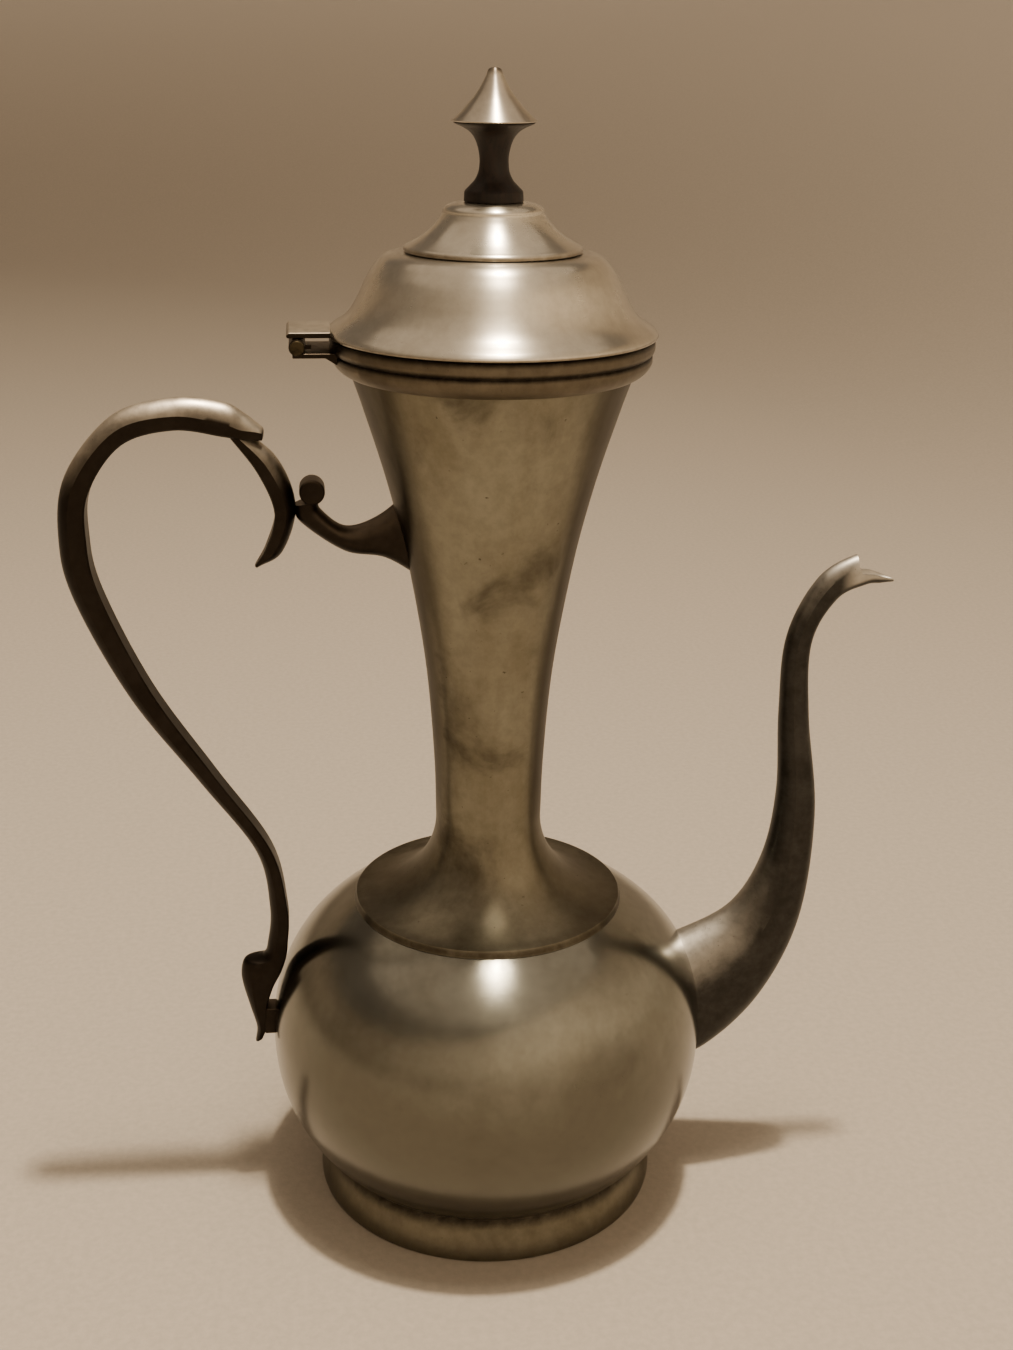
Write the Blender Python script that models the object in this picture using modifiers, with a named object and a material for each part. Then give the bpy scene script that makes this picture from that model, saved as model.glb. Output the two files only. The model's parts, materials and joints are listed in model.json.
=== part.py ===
"""Dallah coffee pot: a turned and cast pewter pot with a hinged lid, built from its separate pieces.

Frame: metres, +Z up. The origin is on the pot's own axis, on the surface it stands on.
The spout points to +X, the handle and the lid hinge are on the -X side.
"""
import math

import bmesh
import bpy
from mathutils import Matrix, Vector

for old in list(bpy.data.objects):
    bpy.data.objects.remove(old, do_unlink=True)

# ---------------------------------------------------------------- driving dimensions (metres)
GAP = 0.0003              # clearance between pieces that are soldered or rest on each other
ROUND_STEPS = 36          # facets round the big turned pieces
SMALL_STEPS = 24          # facets round the knob, the scroll and the washer
PIN_STEPS = 16            # facets round pins and knuckles
SECTION_STEPS = 3         # rings between two sections of the spout, the handle and the bracket

FOOT_RADIUS = 0.0503      # widest part of the rolled foot
FOOT_TOP = 0.0131         # flange that carries the base plate and the belly

BELLY_RADIUS = 0.0633
BELLY_MID = 0.050         # height of the widest part
BELLY_RISE = 0.050        # superellipse half height above the middle
BELLY_DROP = 0.053        # and below it
BELLY_POWER = 2.2
BELLY_WALL = 0.0016
BELLY_STEPS = 12
BELLY_TOP_RADIUS = 0.0376 # the opening under the neck
BELLY_FOOT_Z = 0.0134     # where the belly ends, on the foot's flange

POUR_HOLE_TOP, POUR_HOLE_BOTTOM = 0.068, 0.044
POUR_HOLE_HALF = 0.0065

NECK_WALL = 0.0013
NECK_WAIST = 0.0150
NECK_WAIST_Z = 0.1176
FLARE_RADIUS = 0.0240     # quarter circle between the waist and the shoulder
FLARE_EDGE = 0.0382       # where the flare ends on the belly
FLARE_STEPS = 7
NECK_TOP = 0.2540
NECK_TOP_RADIUS = 0.0383

COLLAR_TOP, COLLAR_BOTTOM = 0.2543, 0.2503
COLLAR_LINE = ((0.0415, COLLAR_TOP), (0.0423, 0.2537), (0.0422, 0.2523), (0.0412, 0.2509),
               (0.0398, COLLAR_BOTTOM))
LID_RIM_Z = 0.2547
LID_RIM_RADIUS = 0.0431
LID_STEP_Z = 0.2754       # flat step that carries the lid's upper tier
CROWN_TOP = 0.2863
KNOB_TOP = 0.3069
FINIAL_TIP = 0.3200

STUD_RADIUS = 0.0020
BORE_RADIUS = STUD_RADIUS + GAP

HINGE_X, HINGE_Z = -0.0506, 0.2528
KNUCKLE_RADIUS = 0.0021
LID_KNUCKLE_HALF = 0.0032
BODY_KNUCKLE_IN, BODY_KNUCKLE_OUT = 0.0035, 0.0096
LEAF_BOTTOM, LEAF_TOP = 0.2552, 0.2566
BRACKET_BOTTOM, BRACKET_TOP = 0.2501, 0.2513
PIN_RADIUS = 0.0011
PIN_BORE = PIN_RADIUS + GAP
PIN_HEAD = 0.0008

parts = bpy.data.collections.new("dallah")
cutters = bpy.data.collections.new("cutters")
for collection in (parts, cutters):
    bpy.context.scene.collection.children.link(collection)


# ---------------------------------------------------------------- materials
def material(name, colour, roughness, metallic):
    mat = bpy.data.materials.new(name)
    mat.use_nodes = True
    shader = mat.node_tree.nodes["Principled BSDF"]
    shader.inputs["Base Color"].default_value = (*colour, 1.0)
    shader.inputs["Roughness"].default_value = roughness
    shader.inputs["Metallic"].default_value = metallic
    return mat


PEWTER = material("satin_pewter", (0.60, 0.55, 0.47), 0.32, 1.0)
TARNISHED = material("tarnished_pewter", (0.36, 0.29, 0.20), 0.38, 1.0)
CAST = material("cast_pewter", (0.42, 0.38, 0.32), 0.42, 1.0)
WOOD = material("ebonised_wood", (0.025, 0.020, 0.018), 0.35, 0.0)
STEEL = material("steel", (0.45, 0.44, 0.42), 0.35, 1.0)
BRASS = material("dull_brass", (0.42, 0.31, 0.17), 0.40, 1.0)


# ---------------------------------------------------------------- outline helpers: points are (x, z)
def spline(points, steps):
    """Catmull-Rom curve through points of any number of coordinates, with steps per span."""
    ends = [tuple(2 * a - b for a, b in zip(points[0], points[1]))]
    ends.append(tuple(2 * a - b for a, b in zip(points[-1], points[-2])))
    knots = [ends[0], *points, ends[1]]
    curve = []
    for p0, p1, p2, p3 in zip(knots, knots[1:], knots[2:], knots[3:]):
        for i in range(steps):
            t = i / steps
            curve.append(tuple(
                0.5 * (2 * b + (c - a) * t + (2 * a - 5 * b + 4 * c - d) * t ** 2
                       + (3 * b - a - 3 * c + d) * t ** 3)
                for a, b, c, d in zip(p0, p1, p2, p3)))
    curve.append(tuple(points[-1]))
    return curve


def belly_line(top_radius, bottom_z, count, grow=0.0):
    """The belly's outer line from top_radius at the top down to bottom_z, grown outwards.

    It is a superellipse, stepped by evenly spaced angles so that the turns at both ends get more points.
    """
    def half_height(angle):
        return BELLY_RISE + grow if angle > 0 else BELLY_DROP

    def radius(angle):
        return (BELLY_RADIUS + grow) * (1 - abs(math.sin(angle)) ** BELLY_POWER) ** (1 / BELLY_POWER)

    top_share = (1 - (top_radius / (BELLY_RADIUS + grow)) ** BELLY_POWER) ** (1 / BELLY_POWER)
    top_angle = math.asin(top_share)
    bottom_angle = -math.asin((BELLY_MID - bottom_z) / BELLY_DROP)
    line = []
    for i in range(count + 1):
        angle = top_angle + (bottom_angle - top_angle) * i / count
        line.append((radius(angle), BELLY_MID + half_height(angle) * math.sin(angle)))
    return line


def neck_line(grow=0.0):
    """The neck's outer line from its top down to the edge of the trumpet flare."""
    upper = spline([
        (NECK_TOP_RADIUS, NECK_TOP), (0.0381, 0.2480), (0.0342, 0.2360), (0.0278, 0.2150),
        (0.0222, 0.1910), (0.0176, 0.1620), (0.0155, 0.1350), (NECK_WAIST, NECK_WAIST_Z)], 1)
    # the flare is part of a circle whose centre is outside the waist
    flare = []
    sweep = math.acos(1 - (FLARE_EDGE - NECK_WAIST) / FLARE_RADIUS)
    for i in range(1, FLARE_STEPS + 1):
        angle = sweep * i / FLARE_STEPS
        flare.append((NECK_WAIST + FLARE_RADIUS * (1 - math.cos(angle)),
                      NECK_WAIST_Z - FLARE_RADIUS * math.sin(angle)))
    return [(x + grow, z) for x, z in upper + flare]


# ---------------------------------------------------------------- solid helpers
def add_object(name, mesh, mat, collection=parts):
    obj = bpy.data.objects.new(name, mesh)
    collection.objects.link(obj)
    if collection is cutters:
        obj.hide_render = True
        obj.display_type = "WIRE"
    if mat:
        mesh.materials.append(mat)
    return obj


def shade(obj, degrees=40):
    obj.data.shade_smooth()
    obj.data.set_sharp_from_angle(angle=math.radians(degrees))


def turned(name, outline, mat, closed=True, steps=ROUND_STEPS, wall=0.0, collection=parts):
    """Turns an outline round the pot's axis; an open line becomes a shell with a wall."""
    count = len(outline)
    edges = [(i, i + 1) for i in range(count - 1)]
    if closed:
        edges.append((count - 1, 0))
    mesh = bpy.data.meshes.new(name)
    mesh.from_pydata([(x, 0, z) for x, z in outline], edges, [])
    obj = add_object(name, mesh, mat, collection)
    screw = obj.modifiers.new("Screw", "SCREW")
    screw.steps = screw.render_steps = steps
    screw.use_merge_vertices = True
    screw.merge_threshold = 0.00001
    screw.use_normal_calculate = False
    if wall:
        solid = obj.modifiers.new("Solidify", "SOLIDIFY")
        solid.thickness = wall
        solid.offset = -1
        solid.use_even_offset = True
    return obj


def loft(name, rings, mat, collection=parts):
    """Skins a list of rings, each a list of the same number of points, and caps both ends."""
    mesh = bpy.data.meshes.new(name)
    bm = bmesh.new()
    loops = [[bm.verts.new(point) for point in ring] for ring in rings]
    count = len(loops[0])
    for ring, following in zip(loops, loops[1:]):
        for i in range(count):
            j = (i + 1) % count
            bm.faces.new((ring[i], ring[j], following[j], following[i]))
    bm.faces.new(list(reversed(loops[0])))
    bm.faces.new(loops[-1])
    bmesh.ops.recalc_face_normals(bm, faces=bm.faces)
    bm.to_mesh(mesh)
    bm.free()
    return add_object(name, mesh, mat, collection)


def oval_bar(name, sections, sides, wall=0.0, collection=parts):
    """sections are (upper x, upper z, lower x, lower z, half width)."""
    rings = [oval_ring(s[0:2], s[2:4], s[4], sides, wall) for s in spline(sections, SECTION_STEPS)]
    return loft(name, rings, CAST, collection)


def oval_ring(upper, lower, half_width, sides, wall=0.0):
    """An ellipse across a tube: upper and lower are (x, z) on the tube's middle plane."""
    centre = ((upper[0] + lower[0]) / 2, (upper[1] + lower[1]) / 2)
    reach = Vector((upper[0] - lower[0], upper[1] - lower[1])) / 2
    reach *= (reach.length - wall) / reach.length
    ring = []
    for i in range(sides):
        angle = 2 * math.pi * i / sides
        ring.append((centre[0] + reach.x * math.cos(angle),
                     (half_width - wall) * math.sin(angle),
                     centre[1] + reach.y * math.cos(angle)))
    return ring


# share of the way from the flat inner face (0) to the ridge (1), and share of the half width
CROWNED = ((0.0, -0.8), (0.10, -1.0), (0.56, -1.0), (0.80, -0.72), (0.95, -0.38), (1.0, 0.0),
           (0.95, 0.38), (0.80, 0.72), (0.56, 1.0), (0.10, 1.0), (0.0, 0.8))


def crowned_ring(inner, outer, half_width):
    """A bar's section: flat inner face, flat sides and a crowned outer face."""
    return [(inner[0] + (outer[0] - inner[0]) * share, half_width * across,
             inner[1] + (outer[1] - inner[1]) * share) for share, across in CROWNED]


def crowned_bar(name, sections):
    """sections are (inner x, inner z, outer x, outer z, half width)."""
    rings = [crowned_ring(s[0:2], s[2:4], s[4]) for s in spline(sections, SECTION_STEPS)]
    return loft(name, rings, CAST)


def rod(name, radius, half_length, mat, centre, steps, collection=parts):
    """A cylinder along Y."""
    mesh = bpy.data.meshes.new(name)
    bm = bmesh.new()
    bmesh.ops.create_cone(bm, cap_ends=True, segments=steps, radius1=radius, radius2=radius,
                          depth=2 * half_length)
    bmesh.ops.rotate(bm, verts=bm.verts, cent=(0, 0, 0), matrix=Matrix.Rotation(math.pi / 2, 3, "X"))
    bm.to_mesh(mesh)
    bm.free()
    obj = add_object(name, mesh, mat, collection)
    obj.location = centre
    return obj


def block(name, low, high, mat, collection=parts):
    """A rectangular block between two corners."""
    mesh = bpy.data.meshes.new(name)
    bm = bmesh.new()
    bmesh.ops.create_cube(bm, size=1.0)
    bmesh.ops.scale(bm, vec=[h - l for l, h in zip(low, high)], verts=bm.verts)
    bmesh.ops.translate(bm, vec=[(h + l) / 2 for l, h in zip(low, high)], verts=bm.verts)
    bm.to_mesh(mesh)
    bm.free()
    return add_object(name, mesh, mat, collection)


def plate(name, outline, half_width, mat, collection=parts):
    """An (x, z) outline with a thickness along Y."""
    curve = bpy.data.curves.new(name, "CURVE")
    curve.dimensions = "2D"
    curve.fill_mode = "BOTH"
    curve.extrude = half_width
    line = curve.splines.new("POLY")
    line.points.add(len(outline) - 1)
    for point, (x, z) in zip(line.points, outline):
        point.co = (x, z, 0, 1)
    line.use_cyclic_u = True
    holder = bpy.data.objects.new(name + "_outline", curve)
    cutters.objects.link(holder)
    holder.rotation_euler = (math.pi / 2, 0, 0)
    bpy.context.view_layer.update()
    graph = bpy.context.evaluated_depsgraph_get()
    mesh = bpy.data.meshes.new_from_object(holder.evaluated_get(graph))
    place = holder.matrix_world.copy()
    bpy.data.objects.remove(holder, do_unlink=True)
    bm = bmesh.new()
    bm.from_mesh(mesh)
    bmesh.ops.remove_doubles(bm, verts=bm.verts, dist=0.000001)
    bmesh.ops.transform(bm, matrix=place, verts=bm.verts)
    bm.to_mesh(mesh)
    bm.free()
    return add_object(name, mesh, mat, collection)


def combine(obj, tool, operation):
    mod = obj.modifiers.new(operation.title(), "BOOLEAN")
    mod.operation = operation
    mod.object = tool
    mod.solver = "EXACT"


def join(obj, tool):
    """Adds a tool piece to obj; the tool moves to the hidden collection."""
    parts.objects.unlink(tool)
    cutters.objects.link(tool)
    tool.hide_render = True
    tool.display_type = "WIRE"
    combine(obj, tool, "UNION")


# ---------------------------------------------------------------- cutters: neighbours grown by the gap
def filled(line):
    """Closes an outer line onto the axis at both ends."""
    return [(0.0, line[0][1]), *line, (0.0, line[-1][1])]


belly_cutter = turned("belly_cutter", filled(belly_line(BELLY_TOP_RADIUS, BELLY_FOOT_Z, 2 * BELLY_STEPS, GAP)),
                      None, closed=False, collection=cutters)
neck_cutter = turned("neck_cutter", filled(neck_line(GAP)), None, closed=False, collection=cutters)


# ---------------------------------------------------------------- foot, base and belly
def foot_ring():
    roll = spline([(0.0476, FOOT_TOP), (0.0492, 0.0103), (FOOT_RADIUS, 0.0058), (0.0493, 0.0012),
                   (0.0478, 0.0)], 2)
    inside = [(0.0456, 0.0), (0.0450, 0.0008), (0.0450, 0.0112), (0.0420, 0.0118), (0.0420, FOOT_TOP)]
    return turned("foot_ring", roll + inside, CAST)


def base_plate():
    return turned("base_plate", [(0.0, 0.0149), (0.0460, 0.0149), (0.0466, 0.0144), (0.0466, BELLY_FOOT_Z),
                                 (0.0, BELLY_FOOT_Z)], PEWTER, closed=False)


def belly():
    shell = turned("belly", belly_line(BELLY_TOP_RADIUS, BELLY_FOOT_Z, BELLY_STEPS), PEWTER, closed=False,
                   wall=BELLY_WALL)
    # oval opening behind the spout's root, through which the coffee pours
    hole = loft("pour_hole", [oval_ring((x, POUR_HOLE_TOP), (x, POUR_HOLE_BOTTOM), POUR_HOLE_HALF, PIN_STEPS)
                              for x in (BELLY_RADIUS - 0.013, BELLY_RADIUS + 0.017)], None, cutters)
    combine(shell, hole, "DIFFERENCE")
    return shell


# ---------------------------------------------------------------- neck and mouth
def neck():
    return turned("neck", neck_line(), TARNISHED, closed=False, wall=NECK_WALL)


def mouth_collar():
    return turned("mouth_collar", [(0.0387, COLLAR_TOP), *COLLAR_LINE, (0.0387, COLLAR_BOTTOM)], TARNISHED)


# ---------------------------------------------------------------- spout
# upper x, upper z, lower x, lower z, half width, from the root inside the belly's line out to the lip
SPOUT_SECTIONS = (
    (0.0490, 0.0740, 0.0530, 0.0345, 0.0125), (0.0592, 0.0764, 0.0662, 0.0384, 0.0120),
    (0.0734, 0.0848, 0.0825, 0.0547, 0.0096), (0.0817, 0.1005, 0.0936, 0.0800, 0.0075),
    (0.0846, 0.1210, 0.0963, 0.1140, 0.0059), (0.0836, 0.1460, 0.0923, 0.1450, 0.0045),
    (0.0844, 0.1690, 0.0915, 0.1670, 0.0037), (0.0925, 0.1862, 0.0977, 0.1797, 0.0034),
    (0.1040, 0.1930, 0.1055, 0.1838, 0.0033), (0.1095, 0.1920, 0.1100, 0.1843, 0.0028),
    (0.1136, 0.1870, 0.1136, 0.1846, 0.0014),
)
SPOUT_SIDES = 12
SPOUT_WALL = 0.0010
# past the mouth the bore runs straight on over the floor of the open beak, out through its lip
GUTTER_SECTIONS = (
    (0.1060, 0.1912, 0.1060, 0.1849, 0.0023), (0.1100, 0.1912, 0.1100, 0.1852, 0.0019),
    (0.1200, 0.1912, 0.1200, 0.1852, 0.0010),
)
BEAK_MOUTH_X = 0.1028     # from here on the tube is open on top, like a gutter
BEAK_RIM_Z = 0.1884


def spout():
    tube = oval_bar("spout", SPOUT_SECTIONS, SPOUT_SIDES)
    bore = [oval_ring(s[0:2], s[2:4], s[4], SPOUT_SIDES, SPOUT_WALL)
            for s in spline(SPOUT_SECTIONS[:9], SECTION_STEPS)]
    bore += [oval_ring(s[0:2], s[2:4], s[4], SPOUT_SIDES) for s in GUTTER_SECTIONS]
    open_top = plate("open_top", [
        (BEAK_MOUTH_X, BEAK_RIM_Z), (0.1075, BEAK_RIM_Z), (0.1150, 0.1850), (0.1200, 0.2000),
        (0.1000, 0.2000), (0.1010, 0.1935)], 0.010, None, cutters)
    for tool in (loft("spout_bore", bore, None, cutters), open_top, belly_cutter):
        combine(tube, tool, "DIFFERENCE")
    return tube


# ---------------------------------------------------------------- handle
# inner x, inner z, outer x, outer z, half width, from the tongue at the top to the leaf's tail
HANDLE_SECTIONS = (
    (-0.0606, 0.2273, -0.0604, 0.2313, 0.0032), (-0.0655, 0.2276, -0.0645, 0.2362, 0.0043),
    (-0.0706, 0.2284, -0.0705, 0.2382, 0.0045), (-0.0830, 0.2308, -0.0828, 0.2387, 0.0045),
    (-0.0965, 0.2270, -0.0988, 0.2342, 0.0045), (-0.1056, 0.2145, -0.1118, 0.2185, 0.0045),
    (-0.1070, 0.2020, -0.1146, 0.2010, 0.0045), (-0.1046, 0.1867, -0.1116, 0.1839, 0.0044),
    (-0.0929, 0.1590, -0.0986, 0.1558, 0.0042), (-0.0769, 0.1330, -0.0812, 0.1304, 0.0040),
    (-0.0621, 0.1095, -0.0665, 0.1084, 0.0038), (-0.0583, 0.0900, -0.0632, 0.0900, 0.0038),
    (-0.0594, 0.0748, -0.0650, 0.0738, 0.0038), (-0.0632, 0.0650, -0.0717, 0.0655, 0.0040),
    (-0.0652, 0.0580, -0.0702, 0.0580, 0.0035), (-0.0654, 0.0515, -0.0684, 0.0508, 0.0028),
    (-0.0668, 0.0472, -0.0689, 0.0460, 0.0018),
)
CURL_SECTIONS = (
    (-0.0690, 0.2290, -0.0668, 0.2310, 0.0036), (-0.0618, 0.2190, -0.0568, 0.2226, 0.0042),
    (-0.0578, 0.2082, -0.0522, 0.2095, 0.0042), (-0.0603, 0.1988, -0.0560, 0.1970, 0.0035),
    (-0.0634, 0.1934, -0.0627, 0.1926, 0.0014),
)
LUG_FACE_X = -0.0649
LUG_BOTTOM, LUG_TOP = 0.0496, 0.0578
LUG_HALF = 0.0030


def handle_bar():
    bar = crowned_bar("handle_bar", HANDLE_SECTIONS)
    join(bar, crowned_bar("handle_curl", CURL_SECTIONS))
    return bar


def handle_lug():
    lug = block("handle_lug", (LUG_FACE_X, -LUG_HALF, LUG_BOTTOM), (-0.0590, LUG_HALF, LUG_TOP), CAST)
    combine(lug, belly_cutter, "DIFFERENCE")
    return lug


# upper x, upper z, lower x, lower z, half width, from inside the neck out to the scroll
BRACKET_SECTIONS = (
    (-0.0200, 0.2150, -0.0180, 0.1880, 0.0050), (-0.0300, 0.2065, -0.0285, 0.1946, 0.0042),
    (-0.0390, 0.2036, -0.0395, 0.1968, 0.0037), (-0.0455, 0.2082, -0.0497, 0.2047, 0.0035),
    (-0.0462, 0.2112, -0.0512, 0.2098, 0.0035),
)
SCROLL_X, SCROLL_Z, SCROLL_RADIUS = -0.0478, 0.2136, 0.0034


def handle_bracket():
    bracket = oval_bar("handle_bracket", BRACKET_SECTIONS, SPOUT_SIDES)
    join(bracket, rod("bracket_scroll", SCROLL_RADIUS, 0.0037, CAST, (SCROLL_X, 0, SCROLL_Z), SMALL_STEPS))
    combine(bracket, neck_cutter, "DIFFERENCE")
    curl_clear = loft("curl_clear", [
        [(x + GAP, y * 1.3, z) for x, y, z in crowned_ring(s[0:2], s[2:4], s[4])]
        for s in spline(CURL_SECTIONS[1:], SECTION_STEPS)], None, cutters)
    combine(bracket, curl_clear, "DIFFERENCE")
    return bracket


# ---------------------------------------------------------------- hinge
def hinge_bore(name):
    return rod(name, PIN_BORE, 2 * BODY_KNUCKLE_OUT, None, (HINGE_X, 0, HINGE_Z), PIN_STEPS, cutters)


def hinge_bracket():
    """A plate with a gusset under the mouth's collar, and a knuckle at each end."""
    bracket = plate("hinge_bracket", [
        (-0.0518, BRACKET_BOTTOM), (-0.0518, BRACKET_TOP), (-0.0380, BRACKET_TOP), (-0.0370, 0.2470),
        (-0.0378, 0.2466), (-0.0435, BRACKET_BOTTOM)], BODY_KNUCKLE_OUT, CAST)
    middle = (BODY_KNUCKLE_IN + BODY_KNUCKLE_OUT) / 2
    half = (BODY_KNUCKLE_OUT - BODY_KNUCKLE_IN) / 2
    for side, place in (("near", -middle), ("far", middle)):
        join(bracket, rod("body_knuckle_" + side, KNUCKLE_RADIUS, half, CAST, (HINGE_X, place, HINGE_Z),
                          PIN_STEPS))
    slot = block("knuckle_slot", (-0.0560, -BODY_KNUCKLE_IN, 0.2440), (-0.0470, BODY_KNUCKLE_IN, 0.2560),
                 None, cutters)
    grown = [(x + GAP, z) for x, z in COLLAR_LINE]
    collar_clear = turned("collar_clear", filled([
        (grown[0][0], COLLAR_TOP + GAP), *grown[1:-1], (grown[-1][0], COLLAR_BOTTOM - GAP)]),
        None, closed=False, collection=cutters)
    for tool in (slot, collar_clear, neck_cutter, hinge_bore("body_bore")):
        combine(bracket, tool, "DIFFERENCE")
    return bracket


def hinge_pin():
    """A riveted pin: a rod along Y with a flat head at each end."""
    reach = BODY_KNUCKLE_OUT + GAP
    half_line = [(0.0, reach + PIN_HEAD), (0.0015, reach + PIN_HEAD), (0.0019, reach + PIN_HEAD / 2),
                 (0.0019, reach), (PIN_RADIUS, reach)]
    outline = half_line + [(x, -y) for x, y in reversed(half_line)]
    pin = turned("hinge_pin", outline, BRASS, closed=False, steps=PIN_STEPS)
    pin.rotation_euler = (math.pi / 2, 0, 0)
    pin.location = (HINGE_X, 0, HINGE_Z)
    return pin


def lid_hinge_leaf():
    """A flat leaf brazed to the lid's rim, with one knuckle between the bracket's two."""
    leaf = plate("lid_hinge_leaf", [
        (-0.0530, LEAF_BOTTOM), (-0.0533, 0.2560), (-0.0526, LEAF_TOP), (-0.0380, LEAF_TOP),
        (-0.0380, LEAF_BOTTOM)], BODY_KNUCKLE_OUT, CAST)
    join(leaf, rod("lid_knuckle", KNUCKLE_RADIUS, LID_KNUCKLE_HALF, CAST, (HINGE_X, 0, HINGE_Z), PIN_STEPS))
    join(leaf, block("knuckle_web", (-0.0522, -LID_KNUCKLE_HALF, HINGE_Z), (-0.0490, LID_KNUCKLE_HALF, 0.2556),
                     CAST))
    rim_clear = turned("rim_clear", [(0.0, 0.2600), (LID_RIM_RADIUS + GAP, 0.2600),
                                     (LID_RIM_RADIUS + GAP, 0.2500), (0.0, 0.2500)],
                       None, closed=False, collection=cutters)
    for tool in (rim_clear, hinge_bore("leaf_bore")):
        combine(leaf, tool, "DIFFERENCE")
    return leaf


# ---------------------------------------------------------------- lid
def lid_dome():
    outside = [(0.0244, LID_STEP_Z), (0.0275, 0.2748), (0.0290, 0.2739), (0.0305, 0.2724), (0.0329, 0.2686),
               (0.0349, 0.2644), (0.0370, 0.2607), (0.0396, 0.2580), (0.0425, 0.2568)]
    rim = [(LID_RIM_RADIUS, 0.2562), (LID_RIM_RADIUS, 0.2552), (0.0428, LID_RIM_Z)]
    inside = [(0.0382, LID_RIM_Z), (0.0376, 0.2563), (0.0337, 0.2638), (0.0316, 0.2682), (0.0293, 0.2716),
              (0.0268, 0.2737), (0.0240, 0.2742), (0.0200, 0.2742), (0.0200, LID_STEP_Z)]
    return turned("lid_dome", outside + rim + inside, PEWTER)


def lid_crown():
    foot = LID_STEP_Z + GAP
    outside = [(BORE_RADIUS, CROWN_TOP), (0.0122, CROWN_TOP), (0.0129, 0.2859), (0.0131, 0.2852),
               (0.0145, 0.2832), (0.0164, 0.2810), (0.0189, 0.2789), (0.0215, 0.2773), (0.0228, 0.2768),
               (0.0230, foot)]
    inside = [(0.0205, foot), (0.0178, 0.2781), (0.0154, 0.2802), (0.0134, 0.2824), (0.0118, 0.2846),
              (0.0112, 0.2850), (BORE_RADIUS, 0.2850)]
    return turned("lid_crown", outside + inside, PEWTER)


def lid_bezel():
    return turned("lid_bezel", [(0.0354, 0.2581), (0.0361, 0.2581), (0.0364, 0.2577), (0.0364, 0.2506),
                                (0.0361, 0.2502), (0.0354, 0.2502)], PEWTER)


# ---------------------------------------------------------------- knob
def knob_grip():
    foot = CROWN_TOP + GAP
    outside = [(BORE_RADIUS, KNOB_TOP), (0.0094, KNOB_TOP), (0.0098, 0.3065)]
    outside += spline([(0.0094, 0.3061), (0.0066, 0.3050), (0.0048, 0.3027), (0.0040, 0.3003), (0.0037, 0.2980),
                       (0.0038, 0.2956), (0.0047, 0.2933), (0.0066, 0.2914), (0.0074, 0.2902)], 2)
    outside += [(0.0075, 0.2894), (0.0075, foot)]
    return turned("knob_grip", outside + [(BORE_RADIUS, foot)], WOOD, steps=SMALL_STEPS)


def knob_finial():
    base = KNOB_TOP + GAP
    cone = [(0.0010, 0.3194), (0.0017, 0.3183), (0.0027, 0.3170), (0.0041, 0.3148), (0.0059, 0.3124),
            (0.0083, 0.3100), (0.0108, 0.3079)]
    outline = [(0.0, FINIAL_TIP), (0.0006, 0.3199), *cone, (0.0109, base), (BORE_RADIUS, base),
               (BORE_RADIUS, 0.3130), (0.0, 0.3130)]
    return turned("knob_finial", outline, PEWTER, closed=False, steps=SMALL_STEPS)


def knob_stud():
    return turned("knob_stud", [(0.0, 0.3126), (0.0017, 0.3126), (STUD_RADIUS, 0.3123), (STUD_RADIUS, 0.2793),
                                (0.0017, 0.2790), (0.0, 0.2790)], STEEL, closed=False, steps=PIN_STEPS)


def knob_washer():
    return turned("knob_washer", [(BORE_RADIUS, 0.2847), (0.0050, 0.2847), (0.0050, 0.2837),
                                  (BORE_RADIUS, 0.2837)], STEEL, steps=SMALL_STEPS)


def knob_nut():
    nut = turned("knob_nut", [(0.0, 0.2834), (0.0038, 0.2834), (0.0040, 0.2832), (0.0040, 0.2806),
                              (0.0038, 0.2804), (0.0, 0.2804)], STEEL, closed=False, steps=6)
    bore = turned("nut_bore", [(0.0, 0.2850), (BORE_RADIUS, 0.2850), (BORE_RADIUS, 0.2790), (0.0, 0.2790)],
                  None, closed=False, steps=PIN_STEPS, collection=cutters)
    combine(nut, bore, "DIFFERENCE")
    return nut


# ---------------------------------------------------------------- the pot and its lid
pot = [foot_ring(), base_plate(), belly(), neck(), mouth_collar(), spout(), handle_bar(), handle_lug(),
       handle_bracket(), hinge_bracket(), hinge_pin()]
lid = [lid_hinge_leaf(), lid_dome(), lid_crown(), lid_bezel(), knob_grip(), knob_finial(), knob_stud(),
       knob_washer(), knob_nut()]

for piece in pot + lid:
    shade(piece)

# the lid's pieces hang from an empty on the hinge axis, so turning it about Y opens the lid
lid_axis = bpy.data.objects.new("lid_axis", None)
lid_axis.location = (HINGE_X, 0, HINGE_Z)
parts.objects.link(lid_axis)
for piece in lid:
    piece.parent = lid_axis
    piece.location = Vector(piece.location) - Vector(lid_axis.location)
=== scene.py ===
"""Looks of the dallah coffee pot: smooth spun and cast pieces in aged pewter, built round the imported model.

Outlines are in millimetres on the pot's own axis, as (radius, height) or (x, height), for a pot 320 mm tall.
MM turns them into the frame's metres.
"""
import json
import math

import bmesh
import bpy
from mathutils import Matrix, Vector


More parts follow.
